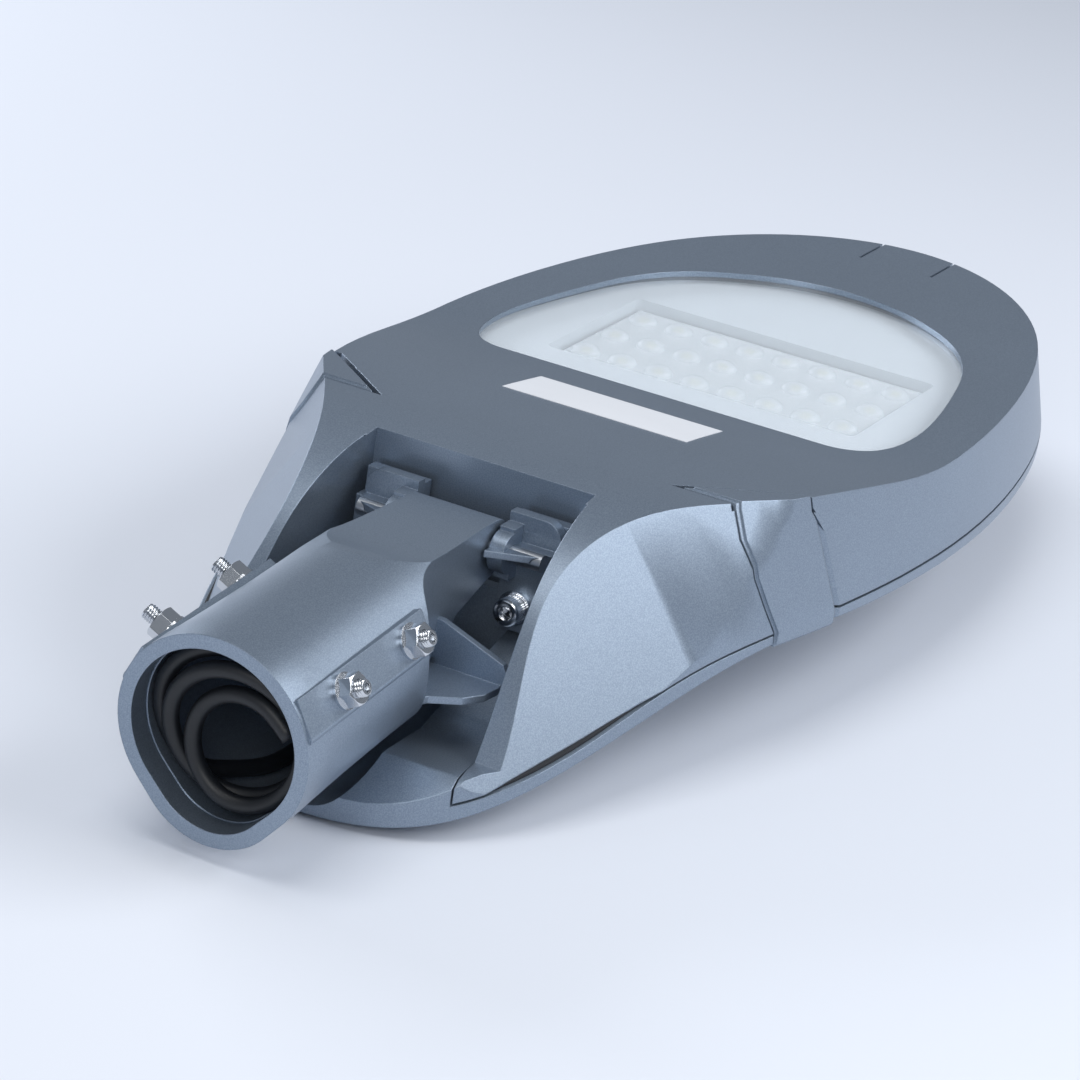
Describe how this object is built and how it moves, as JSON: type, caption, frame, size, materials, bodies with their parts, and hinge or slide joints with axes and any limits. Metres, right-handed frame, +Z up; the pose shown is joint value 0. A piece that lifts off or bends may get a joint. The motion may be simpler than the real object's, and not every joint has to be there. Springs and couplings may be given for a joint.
{
  "type": "street_light_head",
  "caption": "LED street light head for a 76 mm pole, grey die-cast, lamp window up: clamping tilt spigot, hinged glass cover, side latches, driver inside",
  "frame": {"origin": "middle of the spigot's mouth", "axes": "X from the pole spigot to the tip; Y across the head, to the left seen from the spigot with the lamp window up; Z up, square to the cover's flat rim. The head lies on its top housing, as in the picture; in use it is turned over"},
  "size_m": [0.7577, 0.3012, 0.1213],
  "materials": {
    "painted_casting": "satin",
    "cast_tray": "satin",
    "bright_nickel": "gloss",
    "zinc_plated_steel": "satin",
    "silicone_rubber": "matte",
    "tempered_glass": "gloss",
    "white_reflector": "matte",
    "white_board": "matte",
    "clear_lens": "gloss",
    "black_casing": "satin",
    "grey_polyamide": "matte",
    "white_vinyl": "satin",
    "black_cable": "satin"
  },
  "bodies": {
    "housing": {"board_screw_1": "zinc_plated_steel", "board_screw_2": "zinc_plated_steel", "board_screw_3": "zinc_plated_steel", "board_screw_4": "zinc_plated_steel", "cable_gland": "grey_polyamide", "clamp_block_left": "painted_casting", "clamp_block_right": "painted_casting", "clamp_screw_left": "bright_nickel", "clamp_screw_right": "bright_nickel", "clamp_washer_left": "bright_nickel", "clamp_washer_right": "bright_nickel", "core_sleeve": "black_casing", "driver": "black_casing", "gear_plate": "zinc_plated_steel", "gear_screw_1": "zinc_plated_steel", "gear_screw_2": "zinc_plated_steel", "gear_screw_3": "zinc_plated_steel", "gear_screw_4": "zinc_plated_steel", "gland_nut": "grey_polyamide", "hinge_pin": "zinc_plated_steel", "housing_gasket": "silicone_rubber", "led_board": "white_board", "led_tray": "cast_tray", "lens_strip_1": "clear_lens", "lens_strip_2": "clear_lens", "lens_strip_3": "clear_lens", "pivot_shaft": "zinc_plated_steel", "reflector_panel": "white_reflector", "supply_cable": "black_cable", "surge_protector": "grey_polyamide", "terminal_block": "grey_polyamide", "top_housing": "painted_casting", "tray_screw_1": "zinc_plated_steel", "tray_screw_2": "zinc_plated_steel", "tray_screw_3": "zinc_plated_steel", "tray_screw_4": "zinc_plated_steel"},
    "spigot": {"cable_coil": "black_cable", "grub_nut_1": "bright_nickel", "grub_nut_2": "bright_nickel", "grub_nut_3": "bright_nickel", "grub_nut_4": "bright_nickel", "grub_screw_1": "bright_nickel", "grub_screw_2": "bright_nickel", "grub_screw_3": "bright_nickel", "grub_screw_4": "bright_nickel", "grub_washer_1": "bright_nickel", "grub_washer_2": "bright_nickel", "grub_washer_3": "bright_nickel", "grub_washer_4": "bright_nickel", "spigot": "painted_casting"},
    "cover": {"cover": "painted_casting", "glass_seal": "silicone_rubber", "latch_pin_left": "zinc_plated_steel", "latch_pin_right": "zinc_plated_steel", "rating_label": "white_vinyl", "window_glass": "tempered_glass"},
    "latch_left": {"latch_left": "painted_casting"},
    "latch_right": {"latch_right": "painted_casting"}
  },
  "joints": [
    {"name": "spigot_tilt", "type": "hinge", "parent": "housing", "child": "spigot", "pos_m": [0.197, 0, 0.033], "axis": [0, 1, 0], "range_deg": [0, 15], "deforming": ["supply_cable"]},
    {"name": "cover_hinge", "type": "hinge", "parent": "housing", "child": "cover", "pos_m": [0.749, 0, 0.003], "axis": [0, 1, 0], "range_deg": [0, 60]},
    {"name": "latch_left_hinge", "type": "hinge", "parent": "cover", "child": "latch_left", "pos_m": [0.282, 0.1143, 0.0507], "axis": [0.9038, 0.4059, -0.136], "range_deg": [0, 18]},
    {"name": "latch_right_hinge", "type": "hinge", "parent": "cover", "child": "latch_right", "pos_m": [0.282, -0.1143, 0.0507], "axis": [-0.9038, 0.4059, 0.136], "range_deg": [0, 18]}
  ]
}
